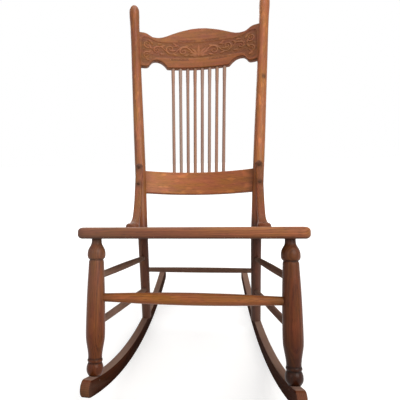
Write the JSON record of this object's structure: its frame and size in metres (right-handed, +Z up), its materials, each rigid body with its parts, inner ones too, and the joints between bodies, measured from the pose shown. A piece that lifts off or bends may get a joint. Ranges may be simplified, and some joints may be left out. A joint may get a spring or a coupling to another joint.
{
  "type": "armless rocking chair",
  "caption": "Armless wooden rocker with a scrolled bent crest rail, slender back spindles, raked one-piece back posts, turned front legs and a caned seat frame.",
  "frame": {"origin": "on the floor, midway between the rockers, at the middle of the chair's depth", "axes": "+Z up from the floor, +Y towards the back of the chair, +X to the right for someone who stands in front of it"},
  "size_m": [0.4554, 0.7686, 1.0059],
  "materials": {
    "oak_show": "satin shellac over golden oak",
    "oak_under": "dull, darkened shellac",
    "cane": "natural cane, aged honey",
    "steel": "dull, oxidised"
  },
  "bodies": {
    "root": {"rocker_left": "oak_under", "front_leg_left": "oak_show", "back_post_left": "oak_show", "rocker_right": "oak_under", "front_leg_right": "oak_show", "back_post_right": "oak_show", "seat_front_rail": "oak_show", "seat_rear_rail": "oak_show", "seat_side_rail_left": "oak_show", "seat_side_rail_right": "oak_show", "cane_panel": "cane", "cane_spline": "cane", "crest_rail": "oak_show", "back_slat": "oak_show", "spindle_1": "oak_show", "spindle_2": "oak_show", "spindle_3": "oak_show", "spindle_4": "oak_show", "spindle_5": "oak_show", "spindle_6": "oak_show", "spindle_7": "oak_show", "spindle_8": "oak_show", "brace_arm_left": "oak_show", "side_stretcher_upper_left": "oak_under", "side_stretcher_lower_left": "oak_under", "brace_arm_right": "oak_show", "side_stretcher_upper_right": "oak_under", "side_stretcher_lower_right": "oak_under", "front_stretcher": "oak_show", "rear_stretcher": "oak_under", "brace_screw_upper_left": "steel", "brace_screw_middle_left": "steel", "brace_screw_lower_left": "steel", "seat_screw_left": "steel", "rocker_pin_front_left": "steel", "rocker_pin_rear_left": "steel", "crest_nail_left": "steel", "slat_nail_left": "steel", "front_dowel_left_1": "oak_show", "front_dowel_left_2": "oak_show", "rear_dowel_left_1": "oak_show", "rear_dowel_left_2": "oak_show", "brace_screw_upper_right": "steel", "brace_screw_middle_right": "steel", "brace_screw_lower_right": "steel", "seat_screw_right": "steel", "rocker_pin_front_right": "steel", "rocker_pin_rear_right": "steel", "crest_nail_right": "steel", "slat_nail_right": "steel", "front_dowel_right_1": "oak_show", "front_dowel_right_2": "oak_show", "rear_dowel_right_1": "oak_show", "rear_dowel_right_2": "oak_show"}
  },
  "joints": []
}
